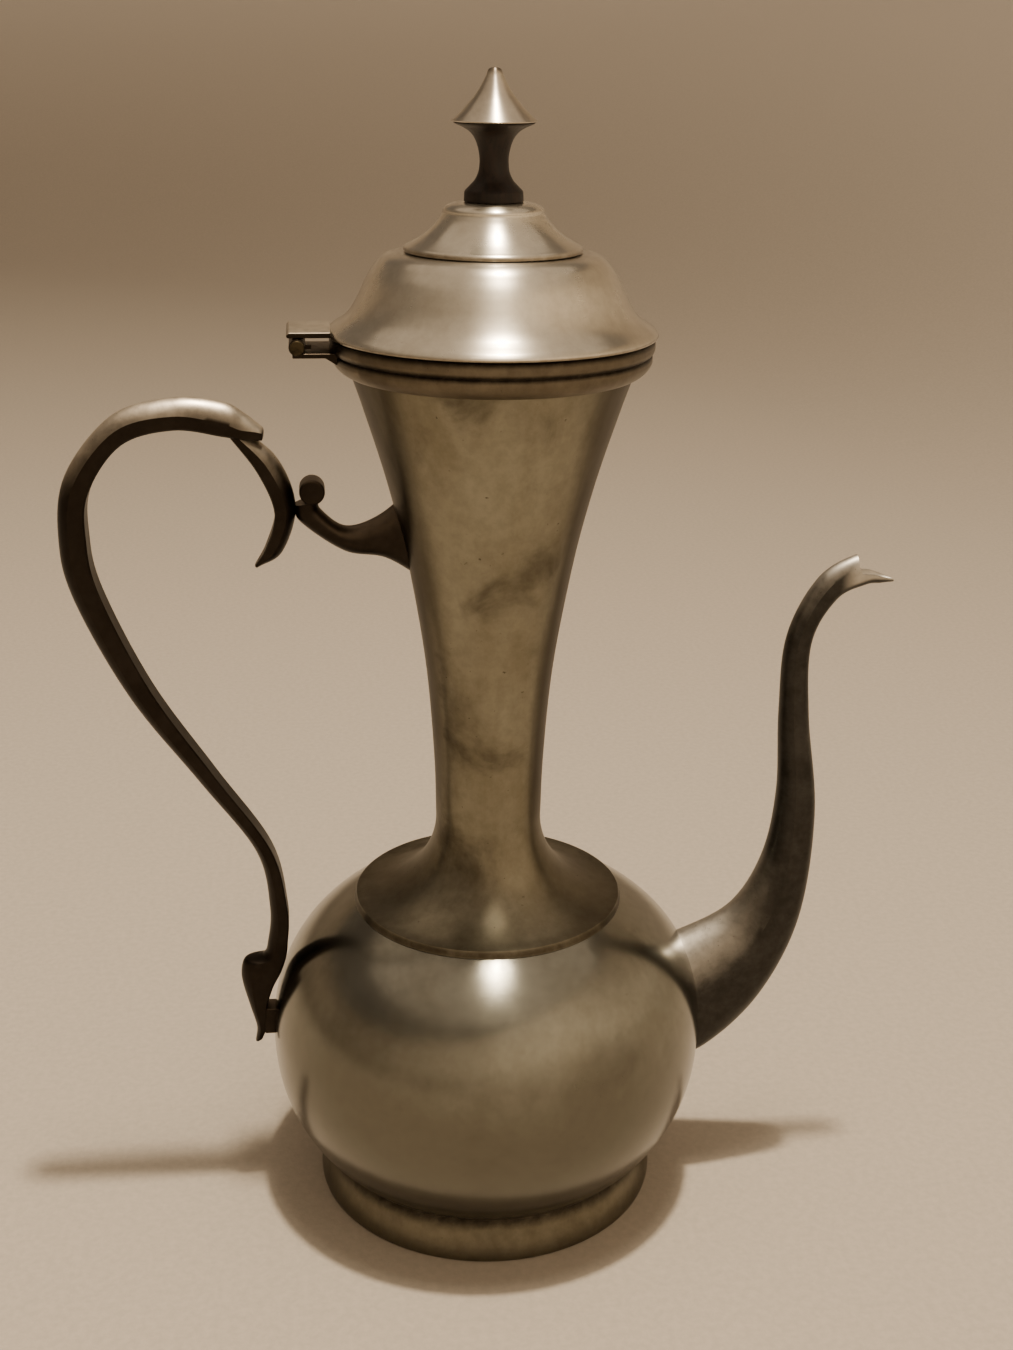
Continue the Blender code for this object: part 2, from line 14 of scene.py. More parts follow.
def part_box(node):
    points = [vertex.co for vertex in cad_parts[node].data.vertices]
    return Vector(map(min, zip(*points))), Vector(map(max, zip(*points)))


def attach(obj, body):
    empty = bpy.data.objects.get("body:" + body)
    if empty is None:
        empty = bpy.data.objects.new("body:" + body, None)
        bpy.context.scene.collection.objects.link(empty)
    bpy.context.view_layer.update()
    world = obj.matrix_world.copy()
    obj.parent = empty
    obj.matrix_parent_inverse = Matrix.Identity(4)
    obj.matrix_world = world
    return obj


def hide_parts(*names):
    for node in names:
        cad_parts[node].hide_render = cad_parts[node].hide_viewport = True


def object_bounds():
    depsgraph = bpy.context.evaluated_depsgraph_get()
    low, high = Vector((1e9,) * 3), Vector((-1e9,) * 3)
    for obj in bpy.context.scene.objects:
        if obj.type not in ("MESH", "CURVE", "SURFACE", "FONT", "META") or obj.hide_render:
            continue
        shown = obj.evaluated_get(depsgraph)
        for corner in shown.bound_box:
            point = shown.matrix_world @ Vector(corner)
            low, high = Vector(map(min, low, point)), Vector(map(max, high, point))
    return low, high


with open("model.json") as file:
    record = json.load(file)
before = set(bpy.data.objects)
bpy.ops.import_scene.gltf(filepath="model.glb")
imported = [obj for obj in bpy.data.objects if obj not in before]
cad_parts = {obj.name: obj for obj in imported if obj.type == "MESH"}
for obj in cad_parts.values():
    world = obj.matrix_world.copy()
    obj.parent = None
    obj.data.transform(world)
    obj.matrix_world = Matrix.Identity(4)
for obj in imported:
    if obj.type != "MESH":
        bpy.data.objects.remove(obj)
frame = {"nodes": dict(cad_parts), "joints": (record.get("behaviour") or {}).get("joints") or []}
CAD_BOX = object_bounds()

DESIGN_HEIGHT = 320.0
MM = (CAD_BOX[1].z - CAD_BOX[0].z) / DESIGN_HEIGHT
BIG_TURN, SMALL_TURN = 176, 72      # steps round big and small turned pieces
ON_AXIS = 0.001     # mm, a radius below which an outline's point is taken as on the axis
CORNER_STEPS, DOME_STEPS, CROWN_STEPS = 5, 4, 9     # steps along a rounded corner, an end dome, half a crown
OVAL_SIDES = 40     # round the spout's bore and the pour hole
SOFT_EDGE, CAST_EDGE, SCROLL_EDGE = 34, 24, 50      # degrees up to which an edge is shaded smooth
TINY_BEVEL = 0.05   # mm, on cutting tools and webs

HINGE = Vector(frame["joints"][0]["pos_m"]) / MM
BELLY_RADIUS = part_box("belly")[1].y / MM
FOOT_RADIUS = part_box("foot_ring")[1].y / MM
RIM_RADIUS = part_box("lid_dome")[1].y / MM
LEAF_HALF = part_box("lid_hinge_leaf")[1].y / MM


# ------------------------------------------------------------------ outlines
def spline(points, steps):
    """Catmull-Rom curve through points of any number of coordinates, with steps per span."""
    first = tuple(2 * a - b for a, b in zip(points[0], points[1]))
    last = tuple(2 * a - b for a, b in zip(points[-1], points[-2]))
    knots = [first, *points, last]
    line = []
    for p0, p1, p2, p3 in zip(knots, knots[1:], knots[2:], knots[3:]):
        for i in range(steps):
            t = i / steps
            line.append(tuple(
                0.5 * (2 * b + (c - a) * t + (2 * a - 5 * b + 4 * c - d) * t ** 2
                       + (3 * b - a - 3 * c + d) * t ** 3)
                for a, b, c, d in zip(p0, p1, p2, p3)))
    line.append(tuple(points[-1]))
    return line


def rounded(outline):
    """Rounds the corners of a closed outline; a point is (x, z) or (x, z, corner radius)."""
    line = []
    count = len(outline)
    for i, point in enumerate(outline):
        corner = Vector(point[:2])
        before = Vector(outline[i - 1][:2]) - corner
        after = Vector(outline[(i + 1) % count][:2]) - corner
        radius = point[2] if len(point) > 2 else 0.0
        if not radius:
            line.append(tuple(corner))
            continue
        reach_before = min(radius, before.length * 0.49)
        reach_after = min(radius, after.length * 0.49)
        start = corner + before.normalized() * reach_before
        end = corner + after.normalized() * reach_after
        for k in range(CORNER_STEPS + 1):
            t = k / CORNER_STEPS
            line.append(tuple(start * (1 - t) ** 2 + corner * 2 * t * (1 - t) + end * t ** 2))
    return line


THINNEST = 0.2


def shell(line, wall, taper=0.0):
    """Closed outline of a thin wall: the outer line, then the inner line back up. The line runs downwards.

    taper is the length over which the wall thins out towards the lower end, down to THINNEST of its depth.
    """
    inner = []
    end = Vector(line[-1])
    for i, point in enumerate(line):
        before = Vector(line[max(i - 1, 0)])
        after = Vector(line[min(i + 1, len(line) - 1)])
        along = (after - before).normalized()
        depth = wall
        if taper:
            depth = wall * max(THINNEST, min(1.0, (end - Vector(point)).length / taper))
        inner.append((point[0] + along.y * depth, point[1] - along.x * depth))
    return list(line) + list(reversed(inner))


# ------------------------------------------------------------------ meshes
def add_mesh(name, bm, material):
    bmesh.ops.recalc_face_normals(bm, faces=bm.faces)
    mesh = bpy.data.meshes.new(name)
    bm.to_mesh(mesh)
    bm.free()
    mesh.materials.append(material)
    obj = bpy.data.objects.new(name, mesh)
    bpy.context.scene.collection.objects.link(obj)
    return obj


def shade(obj, degrees=SOFT_EDGE):
    """Shades a piece smooth, but for the edges that turn by more than some degrees."""
    obj.data.shade_smooth()
    obj.data.set_sharp_from_angle(angle=math.radians(degrees))


# share of the depth, waves round the piece, radians per mm of height, phase
DENT_WAVES = ((0.20, 3, 0.061, 0.0), (0.17, 5, -0.113, 1.3), (0.13, 2, 0.21, 4.0))


def dent(angle, height, depth):
    """How far, in mm, worn hand-raised metal lies inside its true turned form, up to depth."""
    waves = sum(share * math.sin(count * angle + climb * height + phase)
                for share, count, climb, phase in DENT_WAVES)
    return depth * (0.5 + waves)


BULGE_DEPTH, BULGE_HEIGHT, BULGE_SPREAD = 1.3, 80.0, 17.0


def spout_side_bulge(angle, height):
    """The belly is not quite round: its shoulder is a little fuller on the spout's side."""
    level = math.exp(-((height - BULGE_HEIGHT) / BULGE_SPREAD) ** 2)
    return BULGE_DEPTH * max(0.0, math.cos(angle)) ** 2 * level


def turned_ring(bm, radius, height, steps, dents, bulge):
    """One ring of a turned piece, or a single point where the outline is on the axis."""
    if radius < ON_AXIS:
        return [bm.verts.new((0, 0, height * MM))]
    ring = []
    for i in range(steps):
        angle = 2 * math.pi * i / steps
        reach = radius - dent(angle, height, dents)
        if bulge:
            reach += bulge(angle, height)
        ring.append(bm.verts.new((reach * MM * math.cos(angle), reach * MM * math.sin(angle), height * MM)))
    return ring


def lathe(name, outline, material, steps=BIG_TURN, closed=True, dents=0.0, bulge=None):
    """Turns an outline round the Z axis. An open outline starts and ends on the axis.

    dents is how deep, in mm, the metal is dented. bulge is a function of angle and height that adds to the
    radius.
    """
    bm = bmesh.new()
    rings = [turned_ring(bm, radius, height, steps, dents, bulge) for radius, height in outline]
    pairs = list(zip(rings, rings[1:]))
    if closed:
        pairs.append((rings[-1], rings[0]))
    for upper, lower in pairs:
        for i in range(steps):
            j = (i + 1) % steps
            corners = [upper[i % len(upper)], upper[j % len(upper)],
                       lower[j % len(lower)], lower[i % len(lower)]]
            bm.faces.new(list(dict.fromkeys(corners)))
    obj = add_mesh(name, bm, material)
    shade(obj)
    return obj


def skin(name, rings, material, domed=0.0, degrees=SOFT_EDGE):
    """Skins rings of (x, y, z) in mm and caps both ends; domed rounds the ends over that length in mm."""
    if domed:
        first_end = end_dome(rings[0], rings[1], domed)
        last_end = end_dome(rings[-1], rings[-2], domed)
        rings = [*reversed(first_end), *rings, *last_end]
    bm = bmesh.new()
    loops = [[bm.verts.new(Vector(point) * MM) for point in ring] for ring in rings]
    count = len(loops[0])
    for ring, following in zip(loops, loops[1:]):
        for i in range(count):
            j = (i + 1) % count
            bm.faces.new((ring[i], ring[j], following[j], following[i]))
    bm.faces.new(list(reversed(loops[0])))
    bm.faces.new(loops[-1])
    obj = add_mesh(name, bm, material)
    shade(obj, degrees)
    return obj


def end_dome(ring, inner_ring, length):
    """Rings that close an end with nearly a quarter round. The last ring is small, but not a point."""
    centre = sum((Vector(p) for p in ring), Vector()) / len(ring)
    inner = sum((Vector(p) for p in inner_ring), Vector()) / len(inner_ring)
    out = (centre - inner).normalized()
    dome = []
    for k in range(1, DOME_STEPS + 1):
        angle = math.pi / 2 * k / (DOME_STEPS + 0.35)
        dome.append([centre + (Vector(p) - centre) * math.cos(angle) + out * length * math.sin(angle)
                     for p in ring])
    return dome


def slab(name, outline, half_width, material, bevel=0.25):
    """An (x, z) outline in mm with a thickness along Y and bevelled edges."""
    bm = bmesh.new()
    sides = [[bm.verts.new(Vector((x, y, z)) * MM) for x, z in outline]
             for y in (-half_width, half_width)]
    count = len(outline)
    bm.faces.new(sides[0])
    bm.faces.new(list(reversed(sides[1])))
    for i in range(count):
        j = (i + 1) % count
        bm.faces.new((sides[0][j], sides[0][i], sides[1][i], sides[1][j]))
    obj = add_mesh(name, bm, material)
    edge = obj.modifiers.new("Bevel", "BEVEL")
    edge.width = bevel * MM
    edge.segments = 3
    edge.limit_method = "ANGLE"
    edge.angle_limit = math.radians(30)
    apply_modifiers(obj)
    shade(obj)
    return obj


def lay_along_y(obj, y_to, centre):
    """Lays a turned piece down along Y, round a centre (x, z) in mm. Its height 0 comes to y_to."""
    shift = Matrix.Translation(Vector((centre[0], y_to, centre[1])) * MM)
    obj.data.transform(shift @ Matrix.Rotation(math.pi / 2, 4, "X"))
    return obj


def barrel(name, radius, y_from, y_to, material, centre, crown=0.25):
    """A short turned barrel along Y with eased ends, round a centre (x, z) in mm."""
    length = y_to - y_from
    outline = rounded([(0.0, length), (radius, length, crown), (radius, 0.0, crown), (0.0, 0.0)])
    return lay_along_y(lathe(name, outline, material, SMALL_TURN, closed=False), y_to, centre)


def apply_modifiers(obj):
    """Puts the modified mesh in place of the plain one."""
    graph = bpy.context.evaluated_depsgraph_get()
    mesh = bpy.data.meshes.new_from_object(obj.evaluated_get(graph))
    obj.modifiers.clear()
    obj.data = mesh


def combine(obj, tool, operation, degrees=SOFT_EDGE):
    """Joins a tool to obj or cuts it out, and removes the tool."""
    mod = obj.modifiers.new("Boolean", "BOOLEAN")
    mod.operation = operation
    mod.object = tool
    mod.solver = "EXACT"
    bpy.context.view_layer.update()
    apply_modifiers(obj)
    bpy.data.objects.remove(tool, do_unlink=True)
    shade(obj, degrees)


def place(obj, body, slot, *nodes):
    """The piece rides on its body and stands for CAD nodes, which it hides. slot is not used."""
    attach(obj, body)
    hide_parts(*nodes)


# ------------------------------------------------------------------ shader building
class Shader:
    """One material's node tree, with short ways to add nodes to it.

    turned is how strongly the highlights of a spun metal stretch along Z.
    """

    def __init__(self, name, metallic, turned=0.0):
        self.material = bpy.data.materials.new(name)
        self.material.use_nodes = True
        self.tree = self.material.node_tree
        self.surface = self.tree.nodes["Principled BSDF"]
        self.surface.inputs["Metallic"].default_value = metallic
        if turned:
            self.surface.inputs["Anisotropic"].default_value = turned
            self.surface.inputs["Anisotropic Rotation"].default_value = 0.25
        self.here = self.tree.nodes.new("ShaderNodeTexCoord").outputs["Object"]

    def add(self, kind, values=None, **settings):
        node = self.tree.nodes.new(kind)
        for key, value in settings.items():
            setattr(node, key, value)
        for key, value in (values or {}).items():
            if isinstance(value, bpy.types.NodeSocket):
                self.tree.links.new(value, node.inputs[key])
            else:
                node.inputs[key].default_value = value
        return node

    def math(self, operation, a, b=0.0):
        return self.add("ShaderNodeMath", {0: a, 1: b}, operation=operation).outputs[0]

    def noise(self, scale, detail, roughness, where=None, distortion=0.0, seed=0.0):
        values = {"Vector": where or self.here, "W": seed, "Scale": scale, "Detail": detail,
                  "Roughness": roughness, "Distortion": distortion}
        return self.add("ShaderNodeTexNoise", values, noise_dimensions="4D").outputs[0]

    def stretched(self, x, y, z, turn=(0, 0, 0)):
        """The place on the object, scaled by a different factor along each axis."""
        values = {"Vector": self.here, "Scale": (x, y, z), "Rotation": turn}
        return self.add("ShaderNodeMapping", values).outputs[0]

    def between(self, value, low, high, to_low=0.0, to_high=1.0):
        """value taken smoothly from the range low..high to another range."""
        node = self.add("ShaderNodeMapRange", {"Value": value, "From Min": low, "From Max": high,
                                               "To Min": to_low, "To Max": to_high},
                        interpolation_type="SMOOTHSTEP")
        return node.outputs[0]

    def total(self, *parts):
        """Adds up (socket, weight) pairs."""
        result = 0.0
        for socket, weight in parts:
            result = self.math("ADD", self.math("MULTIPLY", socket, weight), result)
        return result

    def most(self, *sockets):
        result = sockets[0]
        for socket in sockets[1:]:
            result = self.math("MAXIMUM", result, socket)
        return result

    def blend(self, share, first, second):
        node = self.add("ShaderNodeMix", {0: share, 6: first, 7: second}, data_type="RGBA")
        return node.outputs[2]

    def axis(self, letter):
        return self.add("ShaderNodeSeparateXYZ", {0: self.here}).outputs["XYZ".index(letter)]

    def from_axis(self):
        """The distance from the Z axis."""
        squares = [self.math("POWER", self.axis(letter), 2.0) for letter in "XY"]
        return self.math("SQRT", self.math("ADD", *squares))

    def upward(self):
        """How far the surface faces up: its normal's Z, in the object's own frame."""
        normal = self.add("ShaderNodeTexCoord").outputs["Normal"]
        return self.add("ShaderNodeSeparateXYZ", {0: normal}).outputs[2]

    def turning_lines(self, pitch_mm):
        """Fine rings left by the spinning lathe. They change only slowly round the Z axis."""
        per_metre = 1.0 / (pitch_mm * MM)
        across = self.math("MULTIPLY", self.from_axis(), per_metre)
        along = self.math("MULTIPLY", self.axis("Z"), per_metre)
        drift = self.math("MULTIPLY", self.axis("X"), 12.0)
        on_outline = self.add("ShaderNodeCombineXYZ", {0: across, 1: along, 2: drift}).outputs[0]
        return self.noise(1.0, 2.0, 0.6, on_outline)

    def bump(self, layers):
        """layers are (height socket, depth in mm); they are stacked into one normal."""
        normal = None
        for height, depth in layers:
            values = {"Height": height, "Distance": depth * MM, "Strength": 1.0}
            if normal:
                values["Normal"] = normal
            normal = self.add("ShaderNodeBump", values).outputs[0]
        self.tree.links.new(normal, self.surface.inputs["Normal"])

    def finish(self, colour, roughness):
        self.tree.links.new(colour, self.surface.inputs["Base Color"])
        self.tree.links.new(roughness, self.surface.inputs["Roughness"])
        return self.material


def rgb(red, green, blue):
    return (red, green, blue, 1.0)


# ------------------------------------------------------------------ materials
PEWTER = rgb(0.72, 0.69, 0.60)
PATINA = rgb(0.027, 0.022, 0.018)
SOOT = rgb(0.018, 0.014, 0.011)
SHADE_RUNS_FROM, SHADE_RUNS_FULL = 98.0, 135.0              # mm, heights between which the neck's dark runs and painted side shade set in
TONE_BELOW, TONE_ABOVE, TONE_WAVER = 26.0, 14.0, 8.0    # mm, how softly the browner tone sets in


def runs_and_side_shade(s, height, strength, seed):
    """Long dark tarnish runs down the metal, and painted shade towards the handle's and the spout's sides,
    both stronger up the neck.
    """
    # painted shade: darker the further the surface turns towards the handle's or the spout's side
    across = s.math("ABSOLUTE", s.math("ADD", s.math("DIVIDE", s.axis("X"), s.from_axis()), 0.09))
    streak_and_shade = s.noise(1.0, 4.0, 0.5, s.stretched(42.0, 42.0, 4.0), 0.2, seed)
    streak_and_shade = s.between(s.total((streak_and_shade, 0.8), (s.math("POWER", across, 2.2), 0.62)), 0.54, 0.92)
    fade = s.between(height, SHADE_RUNS_FROM * MM, SHADE_RUNS_FULL * MM, 0.35 * strength, strength)
    return s.math("MULTIPLY", streak_and_shade, fade)


def seam_dirt_and_shade(s, height, seam, mottle):
    """Dirt and painted shade in a seam, darkest at its height and fading over its reach; seam is a height and
    a reach in mm.
    """
    level, reach = seam
    distance = s.math("ABSOLUTE", s.math("SUBTRACT", height, level * MM))
    band = s.between(distance, reach * 0.15 * MM, reach * MM, 0.95, 0.0)
    return s.math("MULTIPLY", band, s.between(mottle, 0.25, 0.65, 0.7, 1.0))


def stains_and_specks(s, dirt, seed):
    """Broad blotches and fine dark specks, both at the strength dirt."""
    stains = s.between(s.noise(40.0, 6.0, 0.60, distortion=0.6, seed=seed + 2.0), 0.48, 0.78)
    specks = s.between(s.noise(620.0, 2.0, 0.5, seed=seed), 0.68, 0.80)
    return s.most(s.math("MULTIPLY", stains, dirt), s.math("MULTIPLY", specks, dirt))


def wear_marks(s):
    """Fine scratches down the metal and nicks across it."""
    down = s.stretched(2400.0, 2400.0, 110.0, (0.5, 0.3, 0.0))
    across = s.stretched(170.0, 170.0, 2300.0, (0.25, -0.4, 0.0))
    scratches = s.between(s.noise(1.0, 2.0, 0.5, down), 0.64, 0.74)
    nicks = s.between(s.noise(1.0, 2.0, 0.5, across), 0.66, 0.76)
    return s.most(scratches, nicks)


def spun_pewter(name, light, warm, dark, cover, gloss, dirt_and_shade_seams, dirt, low_tone=None, shade_and_runs=0.0, seed=0.0,
                sheen=0.0):
    """Satin spun metal under tarnish: warm clouds, runs and mottling, darker stains, fine turning lines.

    cover is how far the warm tarnish reaches, 0 to 1, and dirt how strong the stains are. gloss is the
    roughness of clean metal. seams are (height, reach) in mm where dirt gathers and shade is painted, under
    rims and at joints. low_tone is a height in mm and the browner colour that the metal takes below it. bands
    is the strength of the dark runs and of the painted shade on the handle's and the spout's sides. seed
    moves the pattern. sheen is the weight of a polished coat over the tarnish.
    """
    s = Shader(name, 1.0, turned=0.82)
    height = s.axis("Z")
    clouds = s.noise(24.0, 7.0, 0.62, distortion=0.4, seed=seed)
    runs = s.noise(1.0, 6.0, 0.62, s.stretched(75.0, 75.0, 14.0), 0.3, seed + 1.0)
    mottle = s.noise(260.0, 6.0, 0.68, seed=seed)
    film = s.total((clouds, 0.46), (runs, 0.42), (mottle, 0.12))
    grime_and_shade = stains_and_specks(s, dirt, seed)
    # dark runs: tarnish streaks with painted shade on the neck's handle and spout sides
    if shade_and_runs:
        grime_and_shade = s.most(grime_and_shade, runs_and_side_shade(s, height, shade_and_runs, seed + 3.0))
    # seams: dirt together with painted shade under rims and at joints
    for seam in dirt_and_shade_seams:
        grime_and_shade = s.most(grime_and_shade, seam_dirt_and_shade(s, height, seam, mottle))
    colour = s.blend(s.between(film, 0.52 - 0.30 * cover, 0.82 - 0.24 * cover), light, warm)
    if low_tone:
        level, tone = low_tone
        waver = s.math("ADD", height, s.between(clouds, 0.3, 0.7, -TONE_WAVER * MM, TONE_WAVER * MM))
        below = s.between(waver, (level - TONE_BELOW) * MM, (level + TONE_ABOVE) * MM, 0.95, 0.0)
        colour = s.blend(below, colour, tone)
    colour = s.blend(grime_and_shade, colour, dark)
    colour = s.blend(s.between(mottle, 0.35, 0.68, 0.0, 0.16), colour, dark)
    lines = s.turning_lines(0.22)
    marks = wear_marks(s)
    film_gloss = s.between(film, 0.3, 0.7, gloss - 0.03, gloss + 0.06)
    rough = s.total((film_gloss, 1.0), (grime_and_shade, 0.14), (lines, 0.03), (marks, 0.04))
    s.bump([(s.noise(45.0, 1.0, 0.5), 0.02), (lines, 0.0008), (marks, -0.0008)])
    s.surface.inputs["Coat Weight"].default_value = sheen
    s.surface.inputs["Coat Roughness"].default_value = 0.16
    return s.finish(colour, rough)


def cast_pewter(name, worn, patina, soot, gloss=0.36, lit_and_worn_beyond=None, lit_and_worn_above=None):
    """Cast metal, filed and handled: faces that look up are rubbed bright and painted lighter, as if lit from
    above;
    sides and undersides stay dark, as patina and painted shade.

    worn, patina and soot are its colours from bright to dark, and gloss is its lowest roughness.
    lit_and_worn_beyond is an x in mm past which all but its undersides is worn and painted bright, as if lit
    from above. lit_and_worn_above is a height in mm, and well below it the piece is neither rubbed nor
    painted lighter.
    """
    s = Shader(name, 1.0)
    clouds = s.noise(60.0, 6.0, 0.62, distortion=0.5)
    fine = s.noise(420.0, 5.0, 0.65)
    # painted light and shade over real rubbing wear: faces that look up come out lighter, sides and
    # undersides darker, as under an overhead lamp
    up = s.math("ADD", s.upward(), s.between(clouds, 0.3, 0.7, -0.06, 0.06))
    rubbed = s.between(up, 0.10, 0.80)
    # the spout's tip is worn and also painted bright, all but its undersides, as if lit from above
    if lit_and_worn_beyond:
        tip = s.between(s.axis("X"), (lit_and_worn_beyond - 5.0) * MM, (lit_and_worn_beyond + 1.0) * MM)
        rubbed = s.most(rubbed, s.math("MULTIPLY", tip, s.between(s.upward(), -0.55, -0.05)))
    if lit_and_worn_above:
        reach = s.between(s.axis("Z"), (lit_and_worn_above - 40.0) * MM, (lit_and_worn_above + 5.0) * MM, 0.0, 1.0)
        rubbed = s.math("MULTIPLY", rubbed, reach)
    low = s.total((clouds, 0.6), (fine, 0.4))
    side = s.blend(s.between(low, 0.36, 0.66), soot, patina)
    colour = s.blend(s.math("MULTIPLY", rubbed, s.between(fine, 0.25, 0.6, 0.78, 1.0)), side, worn)
    speck = s.between(s.noise(900.0, 2.0, 0.5), 0.66, 0.76)
    colour = s.blend(s.math("MULTIPLY", speck, 0.5), colour, soot)
    file_marks = s.noise(1.0, 2.0, 0.5, s.stretched(900.0, 260.0, 900.0, (0.2, 0.6, 0.3)))
    rough = s.total((s.between(low, 0.3, 0.7, gloss, gloss + 0.12), 1.0), (speck, 0.12))
    s.bump([(s.noise(140.0, 3.0, 0.5), 0.05), (s.noise(1300.0, 3.0, 0.6), 0.008), (file_marks, 0.006)])
    return s.finish(colour, rough)


def ebonised_wood():
    """Turned wood stained black: faint long grain, open pores and a rubbed polish."""
    s = Shader("ebonised_wood", 0.0)
    s.surface.inputs["Coat Weight"].default_value = 0.08
    s.surface.inputs["Coat Roughness"].default_value = 0.30
    s.surface.inputs["Specular IOR Level"].default_value = 0.25
    grain = s.noise(1.0, 5.0, 0.6, s.stretched(900.0, 900.0, 70.0))
    pores = s.between(s.noise(1.0, 2.0, 0.5, s.stretched(2600.0, 2600.0, 260.0)), 0.60, 0.72)
    colour = s.blend(s.between(grain, 0.35, 0.65), rgb(0.007, 0.005, 0.004), rgb(0.018, 0.011, 0.008))
    colour = s.blend(pores, colour, rgb(0.004, 0.003, 0.003))
    rough = s.math("ADD", s.between(grain, 0.3, 0.7, 0.42, 0.54), s.math("MULTIPLY", pores, 0.2))
    s.bump([(s.turning_lines(0.20), 0.012), (pores, -0.02)])
    return s.finish(colour, rough)


def plain_metal(name, light, dark, gloss):
    """Small turned hardware: turning lines and oxide spots, which are its dark colour."""
    s = Shader(name, 1.0)
    spots = s.between(s.noise(380.0, 5.0, 0.65), 0.42, 0.68)
    colour = s.blend(spots, light, dark)
    oxide = s.between(spots, 0.0, 1.0, gloss, gloss + 0.18)
    rough = s.math("ADD", oxide, s.math("MULTIPLY", s.turning_lines(0.1), 0.06))
    s.bump([(s.noise(1500.0, 3.0, 0.6), 0.010)])
    return s.finish(colour, rough)


LID_METAL = spun_pewter(
    "lid_pewter", PEWTER, rgb(0.58, 0.53, 0.44), rgb(0.22, 0.18, 0.125), cover=0.35, gloss=0.26,
    dirt_and_shade_seams=[(276.0, 1.1), (254.9, 0.7)], dirt=0.25, seed=2.0, sheen=1.0)
KNOB_METAL = spun_pewter(
    "finial_pewter", rgb(0.66, 0.62, 0.55), rgb(0.52, 0.475, 0.40), rgb(0.14, 0.115, 0.085), cover=0.5,
    gloss=0.31, dirt_and_shade_seams=[(306.9, 0.5), (320.0, 2.0)], dirt=0.35)
BELLY_METAL = spun_pewter(
    "belly_pewter", rgb(0.300, 0.302, 0.262), rgb(0.215, 0.208, 0.165), rgb(0.075, 0.065, 0.045), cover=0.45,
    gloss=0.17, dirt_and_shade_seams=[(13.2, 3.0)], dirt=0.45, low_tone=(76.0, rgb(0.118, 0.111, 0.084)), seed=5.0,
    sheen=0.5)
NECK_METAL = spun_pewter(
    "neck_pewter", rgb(0.275, 0.262, 0.205), rgb(0.190, 0.170, 0.120), rgb(0.060, 0.049, 0.034), cover=0.6,
    gloss=0.31, dirt_and_shade_seams=[(247.0, 3.0), (92.5, 1.9)], dirt=0.85, shade_and_runs=0.95, seed=8.0)
COLLAR_METAL = spun_pewter(
    "collar_pewter", rgb(0.175, 0.15, 0.112), rgb(0.13, 0.108, 0.078), SOOT, cover=0.6, gloss=0.36,
    dirt_and_shade_seams=[(250.3, 1.4), (254.6, 2.2)], dirt=0.5)
FOOT_METAL = spun_pewter(
    "foot_pewter", rgb(0.205, 0.188, 0.142), rgb(0.155, 0.138, 0.100), SOOT, cover=0.6, gloss=0.27,
    dirt_and_shade_seams=[(13.4, 5.0)], dirt=0.5, seed=3.0)
CAST_METAL = cast_pewter("handle_pewter", rgb(0.60, 0.54, 0.45), PATINA, SOOT, lit_and_worn_above=215.0)
BRACKET_METAL = cast_pewter("bracket_pewter", rgb(0.13, 0.105, 0.08), rgb(0.03, 0.024, 0.019), SOOT)
SPOUT_METAL = cast_pewter(
    "spout_pewter", rgb(0.48, 0.46, 0.42), rgb(0.058, 0.056, 0.053), rgb(0.032, 0.030, 0.027),
    lit_and_worn_beyond=102.5)
HINGE_METAL = cast_pewter("hinge_pewter", rgb(0.34, 0.30, 0.245), rgb(0.026, 0.021, 0.016), SOOT, gloss=0.42)
WOOD = ebonised_wood()
STEEL = plain_metal("stud_steel", rgb(0.45, 0.44, 0.42), rgb(0.22, 0.18, 0.14), 0.34)
BRASS = plain_metal("pin_brass", rgb(0.055, 0.044, 0.026), rgb(0.03, 0.024, 0.015), 0.45)


# ------------------------------------------------------------------ belly, foot and neck
BELLY_MID, BELLY_RISE, BELLY_DROP, BELLY_POWER = 50.0, 50.0, 53.0, 2.2
BELLY_TOP_RADIUS, BELLY_FOOT_Z, BELLY_WALL = 37.6, 13.4, 1.6


def belly_line(steps, grow=0.0):
    """The belly's outer line, a superellipse, from its top opening down to the foot."""
    radius = BELLY_RADIUS + grow
    top = math.asin((1 - (BELLY_TOP_RADIUS / radius) ** BELLY_POWER) ** (1 / BELLY_POWER))
    bottom = -math.asin((BELLY_MID - BELLY_FOOT_Z) / BELLY_DROP)
    line = []
    for i in range(steps + 1):
        angle = top + (bottom - top) * i / steps
        half = BELLY_RISE + grow if angle > 0 else BELLY_DROP
        line.append((radius * (1 - abs(math.sin(angle)) ** BELLY_POWER) ** (1 / BELLY_POWER),
                     BELLY_MID + half * math.sin(angle)))
    return line


NECK_WAIST, NECK_WAIST_Z = 15.0, 117.6
FLARE_RADIUS, FLARE_EDGE = 24.0, 38.2
FLARE_HEM = ((38.35, 93.2), (38.65, 92.6), (38.8, 91.6))    # the flare's edge, dressed down onto the belly
NECK_WALL, HEM_TAPER = 1.3, 5.0
DENT_DEPTH = 0.12


def neck_line(steps, flare_steps, grow=0.0):
    """The neck's outer line from the mouth down to the edge of its flare on the belly."""
    upper = spline([(38.3, 254.0), (38.1, 248.0), (34.2, 236.0), (27.8, 215.0), (22.2, 191.0), (17.6, 162.0),
                    (15.5, 135.0), (NECK_WAIST, NECK_WAIST_Z)], steps)
    sweep = math.acos(1 - (FLARE_EDGE - NECK_WAIST) / FLARE_RADIUS)
    flare = []
    for i in range(1, flare_steps + 1):
        angle = sweep * i / flare_steps
        flare.append((NECK_WAIST + FLARE_RADIUS * (1 - math.cos(angle)),
                      NECK_WAIST_Z - FLARE_RADIUS * math.sin(angle)))
    return [(x + grow, z) for x, z in upper + flare]


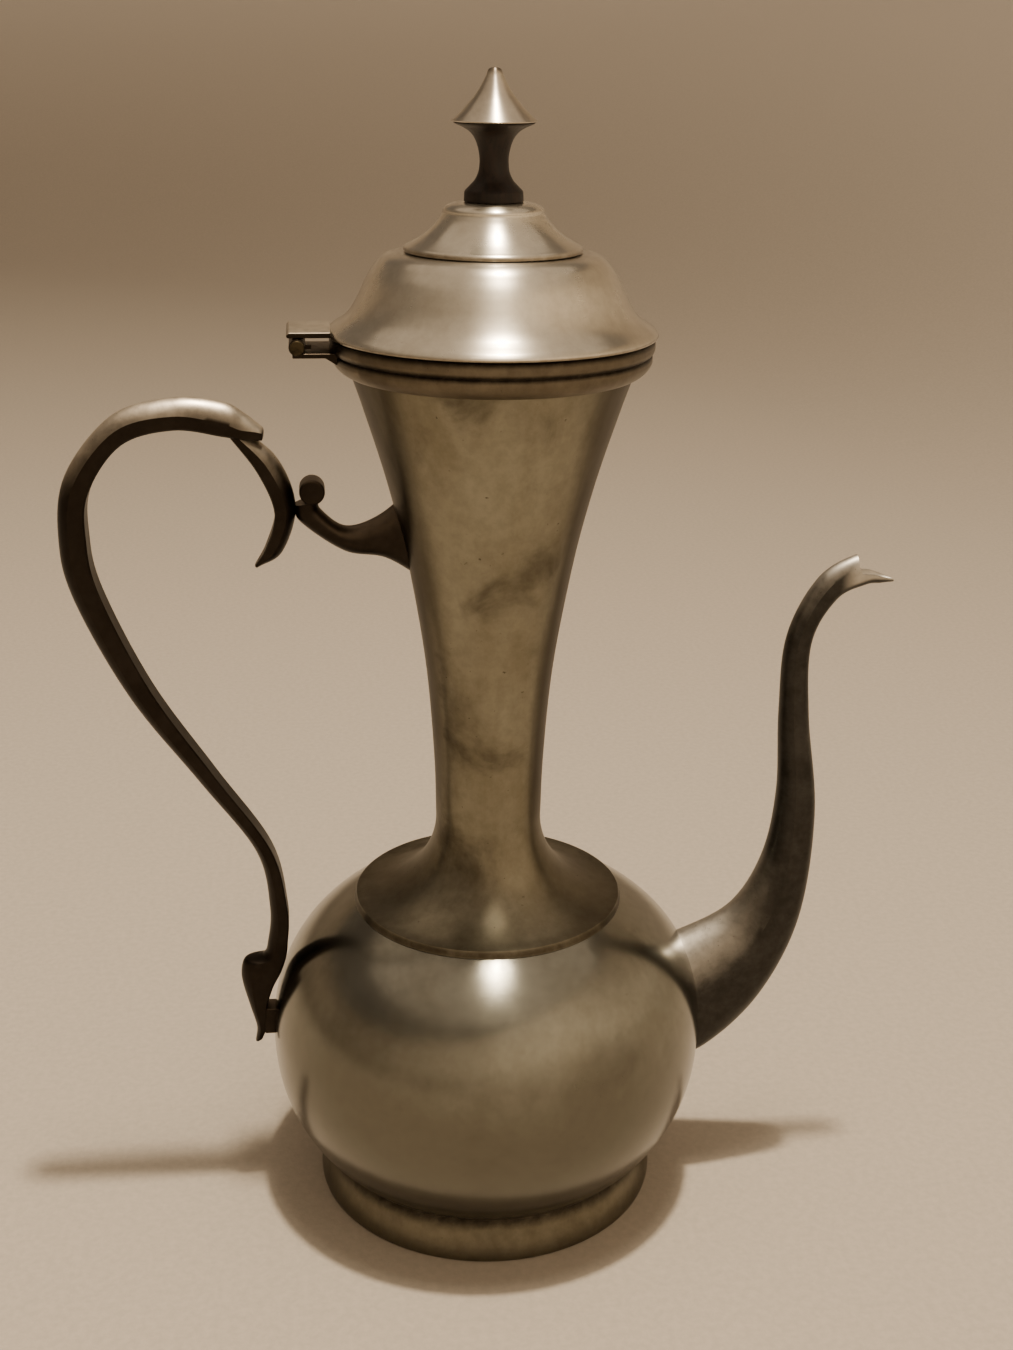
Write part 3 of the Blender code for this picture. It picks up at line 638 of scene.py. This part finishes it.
def filled(line):
    """The outline of a solid with this outer line, for a cutting tool."""
    return [(0.0, line[0][1]), *line, (0.0, line[-1][1])]


HOLE_TOP, HOLE_FOOT, HOLE_HALF = 68.0, 44.0, 6.5     # the oval pour hole behind the spout


def make_belly():
    belly = lathe("belly_shell", shell(belly_line(90), BELLY_WALL), BELLY_METAL, dents=DENT_DEPTH,
                  bulge=spout_side_bulge)
    ends = [oval_ring((x, HOLE_TOP), (x, HOLE_FOOT), HOLE_HALF, OVAL_SIDES) for x in (50.0, 80.0)]
    hole = skin("pour_hole", ends, BELLY_METAL)
    combine(belly, hole, "DIFFERENCE")
    place(belly, "pot", "satin_pewter", "belly")


def make_foot():
    outside = spline([(47.6, 13.1), (48.2, 11.6), (48.8, 9.6), (49.4, 7.4), (49.9, 5.2), (50.2, 3.2),
                      (FOOT_RADIUS, 1.6), (50.1, 0.6)], 6)
    inside = [(49.6, 0.0, 0.3), (45.6, 0.0, 0.3), (45.0, 0.8, 0.3), (45.0, 11.2, 0.3), (42.0, 11.8, 0.2),
              (42.0, 13.1, 0.2)]
    foot = lathe("rolled_foot", rounded(outside + inside), FOOT_METAL)
    place(foot, "pot", "cast_pewter", "foot_ring")


def make_neck():
    line = neck_line(16, 30) + list(FLARE_HEM)
    neck = lathe("trumpet_neck", shell(line, NECK_WALL, HEM_TAPER), NECK_METAL, dents=DENT_DEPTH)
    place(neck, "pot", "tarnished_pewter", "neck")


def make_collar():
    lower = spline([(41.8, 249.3), (41.7, 248.2), (41.0, 246.9), (39.9, 245.8), (38.6, 245.0)], 5)
    outline = rounded([(38.6, 254.3, 0.2), (41.8, 254.3, 0.5), (42.4, 253.6, 0.5), (42.4, 251.6, 0.6),
                       (41.9, 250.7, 0.2), (41.3, 250.3, 0.15), (41.7, 249.9, 0.1)] + lower)
    collar = lathe("rolled_mouth_band", outline, COLLAR_METAL)
    place(collar, "pot", "tarnished_pewter", "mouth_collar")


# ------------------------------------------------------------------ spout
def oval_ring(upper, lower, half_width, sides, wall=0.0):
    """An ellipse across a tube: upper and lower are (x, z) on the tube's middle plane."""
    centre = Vector((upper[0] + lower[0], upper[1] + lower[1])) / 2
    reach = Vector((upper[0] - lower[0], upper[1] - lower[1])) / 2
    reach *= (reach.length - wall) / reach.length
    ring = []
    for i in range(sides):
        angle = 2 * math.pi * i / sides
        ring.append((centre.x + reach.x * math.cos(angle), (half_width - wall) * math.sin(angle),
                     centre.y + reach.y * math.cos(angle)))
    return ring


def crested_ring(upper, lower, half_width):
    """A cast section: a domed crown that meets the sides at an edge, and a rounded underside."""
    edge = math.radians(60)
    profile = []
    for i in range(-CROWN_STEPS, CROWN_STEPS + 1):
        angle = edge * i / CROWN_STEPS
        drop = SPOUT_CROWN * (1 - math.cos(angle)) / (1 - math.cos(edge))
        profile.append((math.sin(angle) / math.sin(edge), drop))
    for i in range(2 * CROWN_STEPS + 1):
        angle = math.pi * i / (2 * CROWN_STEPS)
        profile.append((0.97 * math.cos(angle), 1 - SPOUT_UNDER + SPOUT_UNDER * math.sin(angle)))
    top = Vector(upper)
    down = Vector(lower) - top
    return [(top.x + down.x * along, half_width * across, top.y + down.y * along)
            for across, along in profile]


# upper x, upper z, lower x, lower z, half width; the gutter is the open bore in the beak
SPOUT_SECTIONS = (
    (49.0, 74.0, 53.0, 34.5, 12.5), (59.2, 76.4, 66.2, 38.4, 12.0), (73.4, 84.8, 82.5, 54.7, 9.6),
    (81.7, 100.5, 93.6, 80.0, 7.5), (84.6, 121.0, 96.3, 114.0, 5.9), (83.6, 146.0, 92.3, 145.0, 4.5),
    (84.4, 169.0, 91.5, 167.0, 3.7), (92.5, 186.2, 97.7, 179.7, 3.4), (104.0, 193.0, 105.5, 183.8, 3.3),
    (109.5, 192.0, 110.0, 184.3, 2.8), (113.6, 187.0, 113.6, 184.6, 1.4),
)
GUTTER_SECTIONS = ((106.0, 191.2, 106.0, 184.9, 2.3), (110.0, 191.2, 110.0, 185.2, 1.9),
                   (120.0, 191.2, 120.0, 185.2, 1.0))
SPOUT_WALL = 1.0
SPOUT_CROWN, SPOUT_UNDER = 0.38, 0.30       # shares of the height taken by the crown and the round underside
SPOUT_SINK = 0.8        # mm that the soldered spout sinks into the belly


def make_spout():
    rings = [crested_ring(s[0:2], s[2:4], s[4]) for s in spline(SPOUT_SECTIONS, 10)]
    tube = skin("curved_spout", rings, SPOUT_METAL, degrees=CAST_EDGE)
    open_top = slab("open_top", [(103.9, 187.6), (107.5, 187.3), (115.0, 184.9), (120.0, 200.0),
                                 (102.6, 200.0), (102.9, 190.0)], 10.0, SPOUT_METAL, TINY_BEVEL)
    combine(tube, open_top, "DIFFERENCE", CAST_EDGE)
    bore = [oval_ring(s[0:2], s[2:4], s[4], OVAL_SIDES, SPOUT_WALL) for s in spline(SPOUT_SECTIONS[:9], 8)]
    bore += [oval_ring(s[0:2], s[2:4], s[4], OVAL_SIDES) for s in spline(GUTTER_SECTIONS, 3)]
    combine(tube, skin("spout_bore", bore, SPOUT_METAL), "DIFFERENCE", CAST_EDGE)
    seat = lathe("belly_seat", filled(belly_line(60, -SPOUT_SINK)), SPOUT_METAL, closed=False)
    combine(tube, seat, "DIFFERENCE", CAST_EDGE)
    place(tube, "pot", "cast_pewter", "spout")


# ------------------------------------------------------------------ handle
# inner x, inner z, outer x, outer z, half width, crown's share; from the tongue at the top to the leaf's tail
HANDLE_SECTIONS = (
    (-60.6, 227.6, -60.5, 230.9, 3.0, 0.40), (-65.5, 228.0, -65.0, 234.6, 4.1, 0.60),
    (-70.6, 229.0, -70.5, 237.5, 4.5, 0.58), (-83.0, 230.8, -82.8, 238.7, 4.5, 0.52),
    (-96.5, 227.0, -98.8, 234.2, 4.5, 0.46), (-105.6, 214.5, -111.8, 218.5, 4.5, 0.42),
    (-107.0, 202.0, -114.6, 201.0, 4.5, 0.42), (-104.6, 186.7, -111.6, 183.9, 4.4, 0.42),
    (-92.9, 159.0, -98.6, 155.8, 4.2, 0.42), (-76.9, 133.0, -81.2, 130.4, 4.0, 0.42),
    (-62.1, 109.5, -66.5, 108.4, 3.8, 0.42), (-58.1, 90.0, -63.2, 90.0, 3.8, 0.42),
    (-58.4, 79.5, -64.3, 78.3, 3.8, 0.42), (-58.9, 75.5, -65.4, 75.2, 3.8, 0.40),
    (-59.4, 73.6, -67.2, 74.2, 3.8, 0.36), (-60.0, 71.8, -71.0, 73.6, 3.9, 0.30),
    (-61.0, 69.4, -72.2, 69.6, 4.0, 0.28), (-63.2, 65.0, -71.8, 65.0, 4.0, 0.30),
    (-65.2, 58.0, -70.0, 57.6, 3.5, 0.34), (-65.4, 51.5, -68.4, 50.8, 2.8, 0.40),
    (-66.8, 47.2, -68.9, 46.0, 1.8, 0.45),
)
CURL_SECTIONS = (
    (-69.0, 229.0, -66.8, 231.0, 3.6, 0.5), (-61.8, 219.0, -56.8, 222.6, 4.2, 0.5),
    (-57.8, 208.2, -52.2, 209.5, 4.2, 0.45), (-60.3, 198.8, -56.0, 197.0, 3.5, 0.45),
    (-63.4, 193.4, -62.7, 192.6, 1.4, 0.45),
)


def bar_ring(section):
    """A bar's section: a flat inner face, flat sides, and a domed crown that meets the sides at an edge."""
    inner_x, inner_z, outer_x, outer_z, half_width, crown = section
    edge = math.radians(58)
    profile = [(0.06, -0.96), (0.0, -0.85), (0.0, 0.85), (0.06, 0.96)]
    for i in range(-CROWN_STEPS, CROWN_STEPS + 1):
        angle = -edge * i / CROWN_STEPS
        drop = crown * (1 - math.cos(angle)) / (1 - math.cos(edge))
        profile.append((1 - drop, math.sin(angle) / math.sin(edge)))
    along_x, along_z = outer_x - inner_x, outer_z - inner_z
    return [(inner_x + along_x * share, half_width * across, inner_z + along_z * share)
            for share, across in profile]


def bar(name, sections, domed):
    return skin(name, [bar_ring(section) for section in spline(sections, 9)], CAST_METAL, domed, CAST_EDGE)


def make_handle():
    casting = bar("handle_casting", HANDLE_SECTIONS, 0.7)
    combine(casting, bar("handle_curl", CURL_SECTIONS, 0.5), "UNION", CAST_EDGE)
    place(casting, "pot", "cast_pewter", "handle_bar")


LUG_REACH = 1.0     # mm that the lug reaches past its CAD box, into the leaf and towards the belly


def make_lug():
    low, high = (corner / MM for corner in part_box("handle_lug"))
    left, right = low.x - LUG_REACH, high.x + LUG_REACH
    lug = slab("leaf_lug", [(left, low.z), (right, low.z), (right, high.z), (left, high.z)], high.y,
               BRACKET_METAL)
    place(lug, "pot", "cast_pewter", "handle_lug")


# the same numbers as for the spout's sections; from the neck to the scroll
BRACKET_SECTIONS = (
    (-20.0, 215.0, -18.0, 188.0, 5.0), (-30.0, 206.5, -28.5, 194.6, 4.2), (-39.0, 203.6, -39.5, 196.8, 3.7),
    (-45.5, 208.2, -51.0, 204.9, 3.5), (-46.2, 211.2, -52.8, 209.8, 3.5),
)
SCROLL_CENTRE, SCROLL_RADIUS, SCROLL_HALF, SCROLL_CROWN = (-47.8, 213.6), 3.4, 3.7, 0.8
BRACKET_SIDES, BRACKET_SINK = 36, 0.6


def make_bracket():
    rings = [oval_ring(s[0:2], s[2:4], s[4], BRACKET_SIDES) for s in spline(BRACKET_SECTIONS, 10)]
    bracket = skin("scroll_bracket", rings, BRACKET_METAL, degrees=SCROLL_EDGE)
    scroll = barrel("bracket_scroll", SCROLL_RADIUS, -SCROLL_HALF, SCROLL_HALF, BRACKET_METAL, SCROLL_CENTRE,
                    SCROLL_CROWN)
    combine(bracket, scroll, "UNION", SCROLL_EDGE)
    seat = lathe("neck_seat", filled(neck_line(8, 12, -BRACKET_SINK)), BRACKET_METAL, closed=False)
    combine(bracket, seat, "DIFFERENCE", SCROLL_EDGE)
    place(bracket, "pot", "cast_pewter", "handle_bracket")


# ------------------------------------------------------------------ hinge
KNUCKLE_RADIUS, PIN_RADIUS = 2.1, 1.1
HEAD_RADIUS, HEAD_HEIGHT, HEAD_CROWN = 1.9, 0.8, 0.35
LID_KNUCKLE_HALF, BODY_KNUCKLE_IN = 3.2, 3.5
PIN_CENTRE = (HINGE.x, HINGE.z)


def make_hinge_bracket():
    """The plate under the collar, with a knuckle at each side and a slot for the lid's knuckle."""
    bracket = slab("hinge_plate", [(-51.8, 250.1), (-51.8, 251.3), (-40.5, 251.3), (-38.3, 250.2),
                                   (-37.6, 247.0), (-37.8, 246.6), (-43.5, 250.1)], LEAF_HALF, BRACKET_METAL)
    for name, y_from, y_to in (("near", -LEAF_HALF, -BODY_KNUCKLE_IN), ("far", BODY_KNUCKLE_IN, LEAF_HALF)):
        knuckle = barrel("knuckle_" + name, KNUCKLE_RADIUS, y_from, y_to, BRACKET_METAL, PIN_CENTRE)
        combine(bracket, knuckle, "UNION")
    slot = slab("knuckle_slot", [(-56.0, 244.0), (-47.0, 244.0), (-47.0, 256.0), (-56.0, 256.0)],
                BODY_KNUCKLE_IN, BRACKET_METAL, TINY_BEVEL)
    combine(bracket, slot, "DIFFERENCE")
    place(bracket, "pot", "cast_pewter", "hinge_bracket")


def make_hinge_leaf():
    """The leaf on the lid's rim, with the middle knuckle and the web that carries it."""
    leaf = slab("hinge_leaf", [(-53.0, 255.2), (-53.3, 255.9), (-52.6, 256.6), (-42.0, 256.6),
                               (-42.0, 255.2)], LEAF_HALF, HINGE_METAL)
    knuckle = barrel("lid_knuckle", KNUCKLE_RADIUS, -LID_KNUCKLE_HALF, LID_KNUCKLE_HALF, HINGE_METAL,
                     PIN_CENTRE)
    combine(leaf, knuckle, "UNION")
    web = slab("knuckle_web", [(-52.2, HINGE.z), (-49.0, HINGE.z), (-49.0, 255.6), (-52.2, 255.6)],
               LID_KNUCKLE_HALF, HINGE_METAL, TINY_BEVEL)
    combine(leaf, web, "UNION")
    place(leaf, "lid", "cast_pewter", "lid_hinge_leaf")


def make_hinge_pin():
    """A riveted pin, as long as the CAD's, turned in one with both heads."""
    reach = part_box("hinge_pin")[1].y / MM
    inner = reach - HEAD_HEIGHT
    half = [(0.0, reach), (HEAD_RADIUS, reach, HEAD_CROWN), (HEAD_RADIUS, inner, 0.1), (PIN_RADIUS, inner)]
    other_half = [(radius, -height, *corner) for radius, height, *corner in reversed(half)]
    pin = lathe("rivet_pin", rounded(half + other_half), BRASS, SMALL_TURN, closed=False)
    lay_along_y(pin, 0.0, PIN_CENTRE)
    place(pin, "pot", "dull_brass", "hinge_pin")


# ------------------------------------------------------------------ lid
STUD_BORE = 2.3     # mm, the radius of the hole for the stud through the crown, the grip and the finial


def make_dome():
    """The lid's spun shell, from the flat step down its outside to the rim and back up its inside."""
    outside = spline([(24.4, 275.4), (26.2, 275.15), (28.0, 274.55), (29.4, 273.5), (30.5, 272.2),
                      (31.8, 270.4), (32.9, 268.4), (33.9, 266.3), (34.9, 264.2), (36.0, 262.2),
                      (37.2, 260.4), (38.5, 259.0), (39.9, 257.95), (41.2, 257.15), (42.2, 256.45),
                      (42.85, 255.7), (RIM_RADIUS, 255.15)], 6)
    rim = [(42.9, 254.7, 0.15), (38.2, 254.7, 0.3)]
    inside = spline([(37.6, 256.3), (35.8, 259.8), (33.7, 263.8), (31.6, 268.2), (29.3, 271.6), (26.8, 273.7),
                     (24.0, 274.2)], 6)
    step_hole = [(20.0, 274.2, 0.2), (20.0, 275.4, 0.2)]
    dome = lathe("lid_dome_shell", rounded(outside + rim + inside + step_hole), LID_METAL)
    place(dome, "lid", "satin_pewter", "lid_dome")


def make_crown():
    """The upper tier: a bead round its flat top, then a flared skirt down to the step."""
    outside = [(STUD_BORE, 287.75), (7.6, 287.75)]
    outside += spline([(8.6, 287.7), (10.2, 287.5), (11.6, 287.1), (12.6, 286.5), (13.0, 285.9),
                       (13.0, 285.5)], 4)
    outside += spline([(13.15, 285.1), (14.2, 283.4), (16.2, 281.2), (18.8, 279.1), (21.2, 277.7),
                       (22.5, 277.1)], 6)
    outside += [(23.0, 276.6, 0.3), (23.0, 275.7, 0.2)]
    inside = spline([(20.5, 275.7), (19.6, 276.6), (17.8, 278.1), (15.4, 280.2), (13.4, 282.4),
                     (11.8, 284.6)], 4)
    inside += [(11.2, 285.0), (STUD_BORE, 285.0)]
    crown = lathe("lid_crown_shell", rounded(outside + inside), LID_METAL)
    place(crown, "lid", "satin_pewter", "lid_crown")


def make_bezel():
    """The ring under the lid that centres it in the mouth."""
    outline = rounded([(35.4, 258.1, 0.2), (36.1, 258.1, 0.2), (36.4, 257.7, 0.2), (36.4, 250.6, 0.3),
                       (36.1, 250.2, 0.2), (35.4, 250.2, 0.2)])
    bezel = lathe("lid_locating_ring", outline, LID_METAL)
    place(bezel, "lid", "satin_pewter", "lid_bezel")


# ------------------------------------------------------------------ knob
def make_grip():
    """The waisted wooden grip, from its wide top down to the crown."""
    outside = [(STUD_BORE, 307.1), (10.2, 307.1, 0.2), (10.3, 306.9, 0.1)]
    outside += spline([(9.6, 306.5), (7.9, 305.8), (6.2, 304.7), (5.0, 303.2), (4.2, 301.2), (3.75, 299.0),
                       (3.7, 297.0), (4.0, 295.0), (4.9, 293.1), (6.2, 291.7), (6.9, 291.0)], 6)
    outside += [(7.3, 290.6, 0.15), (7.5, 290.2, 0.2), (7.6, 287.9, 0.2), (STUD_BORE, 287.9)]
    grip = lathe("black_grip", rounded(outside), WOOD, SMALL_TURN)
    place(grip, "lid", "ebonised_wood", "knob_grip")


def make_finial():
    """The cone on top, with a blunt tip and a blind hole for the stud."""
    cone = spline([(1.0, 319.9), (1.5, 319.6), (1.8, 319.1), (2.1, 318.3), (2.6, 317.3), (3.3, 316.0),
                   (4.2, 314.5), (5.3, 313.0), (6.9, 311.2), (8.6, 309.4), (10.1, 308.0)], 6)
    outside = rounded([(0.6, 319.98), *cone, (10.9, 307.5, 0.12), (10.6, 307.2, 0.1), (STUD_BORE, 307.2)])
    outline = [(0.0, DESIGN_HEIGHT), *outside, (STUD_BORE, 313.0), (0.0, 313.0)]
    finial = lathe("cone_finial", outline, KNOB_METAL, SMALL_TURN, closed=False)
    place(finial, "lid", "satin_pewter", "knob_finial")


# ------------------------------------------------------------------ CAD nodes that stay
def finish_kept_nodes():
    """CAD nodes whose shape is already right take a finish of their own."""
    for node, material in (("base_plate", FOOT_METAL), ("knob_stud", STEEL), ("knob_washer", STEEL),
                           ("knob_nut", STEEL)):
        mesh = frame["nodes"][node].data
        mesh.materials.clear()
        mesh.materials.append(material)


for make in (make_belly, make_foot, make_neck, make_collar, make_spout, make_handle, make_lug, make_bracket,
             make_hinge_bracket, make_hinge_leaf, make_hinge_pin, make_dome, make_crown, make_bezel,
             make_grip, make_finial, finish_kept_nodes):
    make()


# ------------------------------------------------------------------ studio
# the sweep's sizes are in metres
WALL_CENTRE, WALL_RADIUS, WALL_TOP, COVE_RADIUS = (-1.15, 0.65), 2.5, 1.45, 0.9
WALL_TONE_FROM = 0.6                # height at which the wall has its full tone
WALL_TURN, COVE_STEPS = 120, 24     # steps round the wall and up its cove


def pale_finish():
    """A matt sweep, about half as bright on the floor as on the wall."""
    s = Shader("pale_floor", 0.0)
    tone = s.between(s.noise(420.0, 4.0, 0.6), 0.3, 0.7)
    colour = s.blend(tone, rgb(0.41, 0.368, 0.315), rgb(0.465, 0.418, 0.358))
    colour = s.blend(s.between(s.axis("Z"), 0.0, WALL_TONE_FROM), colour, rgb(0.84, 0.785, 0.71))
    s.bump([(s.noise(900.0, 3.0, 0.6), 0.10)])
    return s.finish(colour, s.between(tone, 0.0, 1.0, 0.85, 0.95))


def wall_line():
    """The (radius, height) line of floor, cove and wall."""
    flat = WALL_RADIUS - COVE_RADIUS
    line = [(0.001, 0.0), (flat, 0.0)]
    for i in range(1, COVE_STEPS + 1):
        angle = math.pi / 2 * i / COVE_STEPS
        line.append((flat + COVE_RADIUS * math.sin(angle), COVE_RADIUS * (1 - math.cos(angle))))
    return line + [(WALL_RADIUS, WALL_TOP)]


def make_floor():
    """A pale seamless floor with a round cove and wall, nearest on the pot's front right."""
    centre_x, centre_y = WALL_CENTRE
    turns = [2 * math.pi * i / WALL_TURN for i in range(WALL_TURN)]
    compass = [(math.cos(turn), math.sin(turn)) for turn in turns]
    bm = bmesh.new()
    rings = [[bm.verts.new((centre_x + radius * x, centre_y + radius * y, height)) for x, y in compass]
             for radius, height in wall_line()]
    for ring, following in zip(rings, rings[1:]):
        for i in range(WALL_TURN):
            j = (i + 1) % WALL_TURN
            bm.faces.new((ring[i], ring[j], following[j], following[i]))
    floor = add_mesh("pale_floor", bm, pale_finish())
    floor.data.shade_smooth()


LAMP, CEILING = (1.0, 0.83, 0.62), (1.0, 0.77, 0.54)
LAMP_POOL = (-0.45, -0.50, 0.0)     # where on the floor the lamp points


def add_lamp(name, size, power, colour, position, target, spread=180):
    """A round area lamp: size in metres, power in watts, spread in degrees."""
    data = bpy.data.lights.new(name, "AREA")
    data.shape = "DISK"
    data.size = size
    data.energy = power
    data.color = colour
    data.spread = math.radians(spread)
    lamp = bpy.data.objects.new(name, data)
    lamp.location = position
    lamp.rotation_euler = (Vector(target) - Vector(position)).to_track_quat("-Z", "Y").to_euler()
    bpy.context.scene.collection.objects.link(lamp)


def make_studio():
    """Soft light from a warm room, with one warm lamp overhead and a lit ceiling."""
    world = bpy.data.worlds.new("studio")
    bpy.context.scene.world = world
    world.use_nodes = True
    ground = world.node_tree.nodes["Background"]
    ground.inputs["Color"].default_value = rgb(0.18, 0.138, 0.098)
    ground.inputs["Strength"].default_value = 1.0
    add_lamp("overhead_key", 0.10, 28.0, LAMP, (0.10, -0.05, 1.95), LAMP_POOL, spread=142)
    add_lamp("overhead_glow", 0.36, 12.0, LAMP, (0.10, -0.12, 1.93), LAMP_POOL)
    add_lamp("ceiling_glow", 4.4, 21.0, CEILING, (-0.2, 0.1, 2.3), (-0.2, 0.1, 0.0))


def make_camera():
    """A hand-held view from a little above the pot's top, nearly square to its side."""
    distance, height = 455.0 * MM, 329.9 * MM
    azimuth, aim_azimuth, down, roll = (math.radians(degrees) for degrees in (6.0, 6.6, 20.5, 0.73))
    spot = Vector((-distance * math.sin(azimuth), -distance * math.cos(azimuth), height))
    data = bpy.data.cameras.new("camera")
    data.sensor_width = 36.0
    data.lens = 46.4
    data.clip_start = 0.01
    camera = bpy.data.objects.new("camera", data)
    turn = (Matrix.Rotation(-aim_azimuth, 4, "Z") @ Matrix.Rotation(math.pi / 2 - down, 4, "X")
            @ Matrix.Rotation(roll, 4, "Z"))
    camera.matrix_world = Matrix.Translation(spot) @ turn
    bpy.context.scene.collection.objects.link(camera)
    bpy.context.scene.camera = camera


make_floor()
make_studio()
make_camera()
